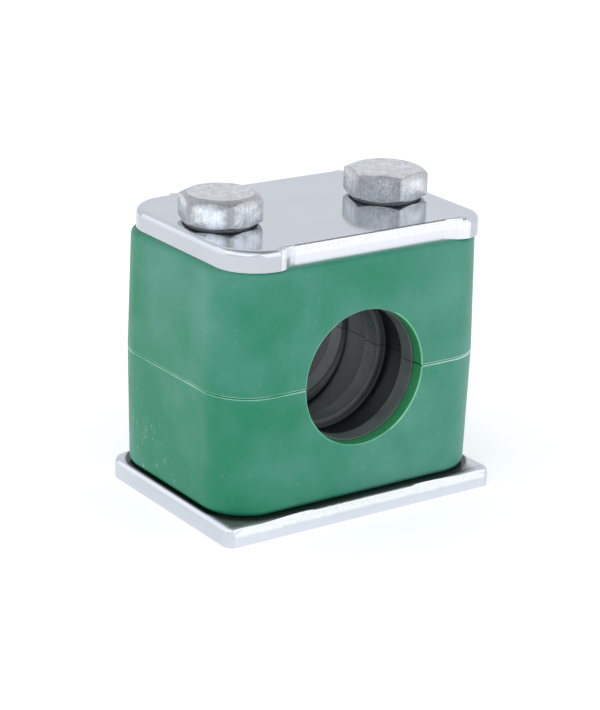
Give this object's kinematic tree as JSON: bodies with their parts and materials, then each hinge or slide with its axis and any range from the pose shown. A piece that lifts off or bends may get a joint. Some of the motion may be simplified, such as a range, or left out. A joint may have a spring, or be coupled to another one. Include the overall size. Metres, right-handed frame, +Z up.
{
  "type": "hydraulic tube clamp",
  "caption": "Split plastic tube clamp with a ribbed rubber liner, bolted between a cover plate and a weld plate by hexagon bolts.",
  "frame": {"origin": "centre of the weld plate's underside between the two bolts, on the surface that is welded down", "axes": "+X from the left bolt to the right bolt, +Y along the tube, +Z up through the bolts"},
  "size_m": [0.043, 0.031, 0.0426],
  "materials": {
    "weld_steel": "polished sheet with sheared edges",
    "cover_steel": "polished sheet with sheared edges",
    "green_plastic": "satin moulded polypropylene",
    "black_rubber": "matt moulded rubber",
    "bolt_steel": "bright zinc plated"
  },
  "bodies": {
    "base": {"weld_plate": "weld_steel", "lower_half": "green_plastic", "lower_liner": "black_rubber"},
    "top": {"upper_half": "green_plastic", "upper_liner": "black_rubber", "cover_plate": "cover_steel"},
    "left_bolt": {"bolt_left": "bolt_steel"},
    "right_bolt": {"bolt_right": "bolt_steel"}
  },
  "joints": [
    {"name": "clamp_lift", "type": "slide", "parent": "base", "child": "top", "axis": [0, 0, 1], "range_m": [0, 0.005]},
    {"name": "left_bolt_turn", "type": "hinge", "parent": "top", "child": "left_bolt", "pos_m": [-0.0133, 0, 0.0386], "axis": [0, 0, 1], "range_deg": [0, 1800]},
    {"name": "right_bolt_turn", "type": "hinge", "parent": "top", "child": "right_bolt", "pos_m": [0.0133, 0, 0.0386], "axis": [0, 0, 1], "range_deg": [0, 1800]}
  ],
  "couplings": [
    {"joint": "left_bolt_turn", "follows": "clamp_lift", "rad_per_m": 6283.2},
    {"joint": "right_bolt_turn", "follows": "clamp_lift", "rad_per_m": 6283.2}
  ]
}
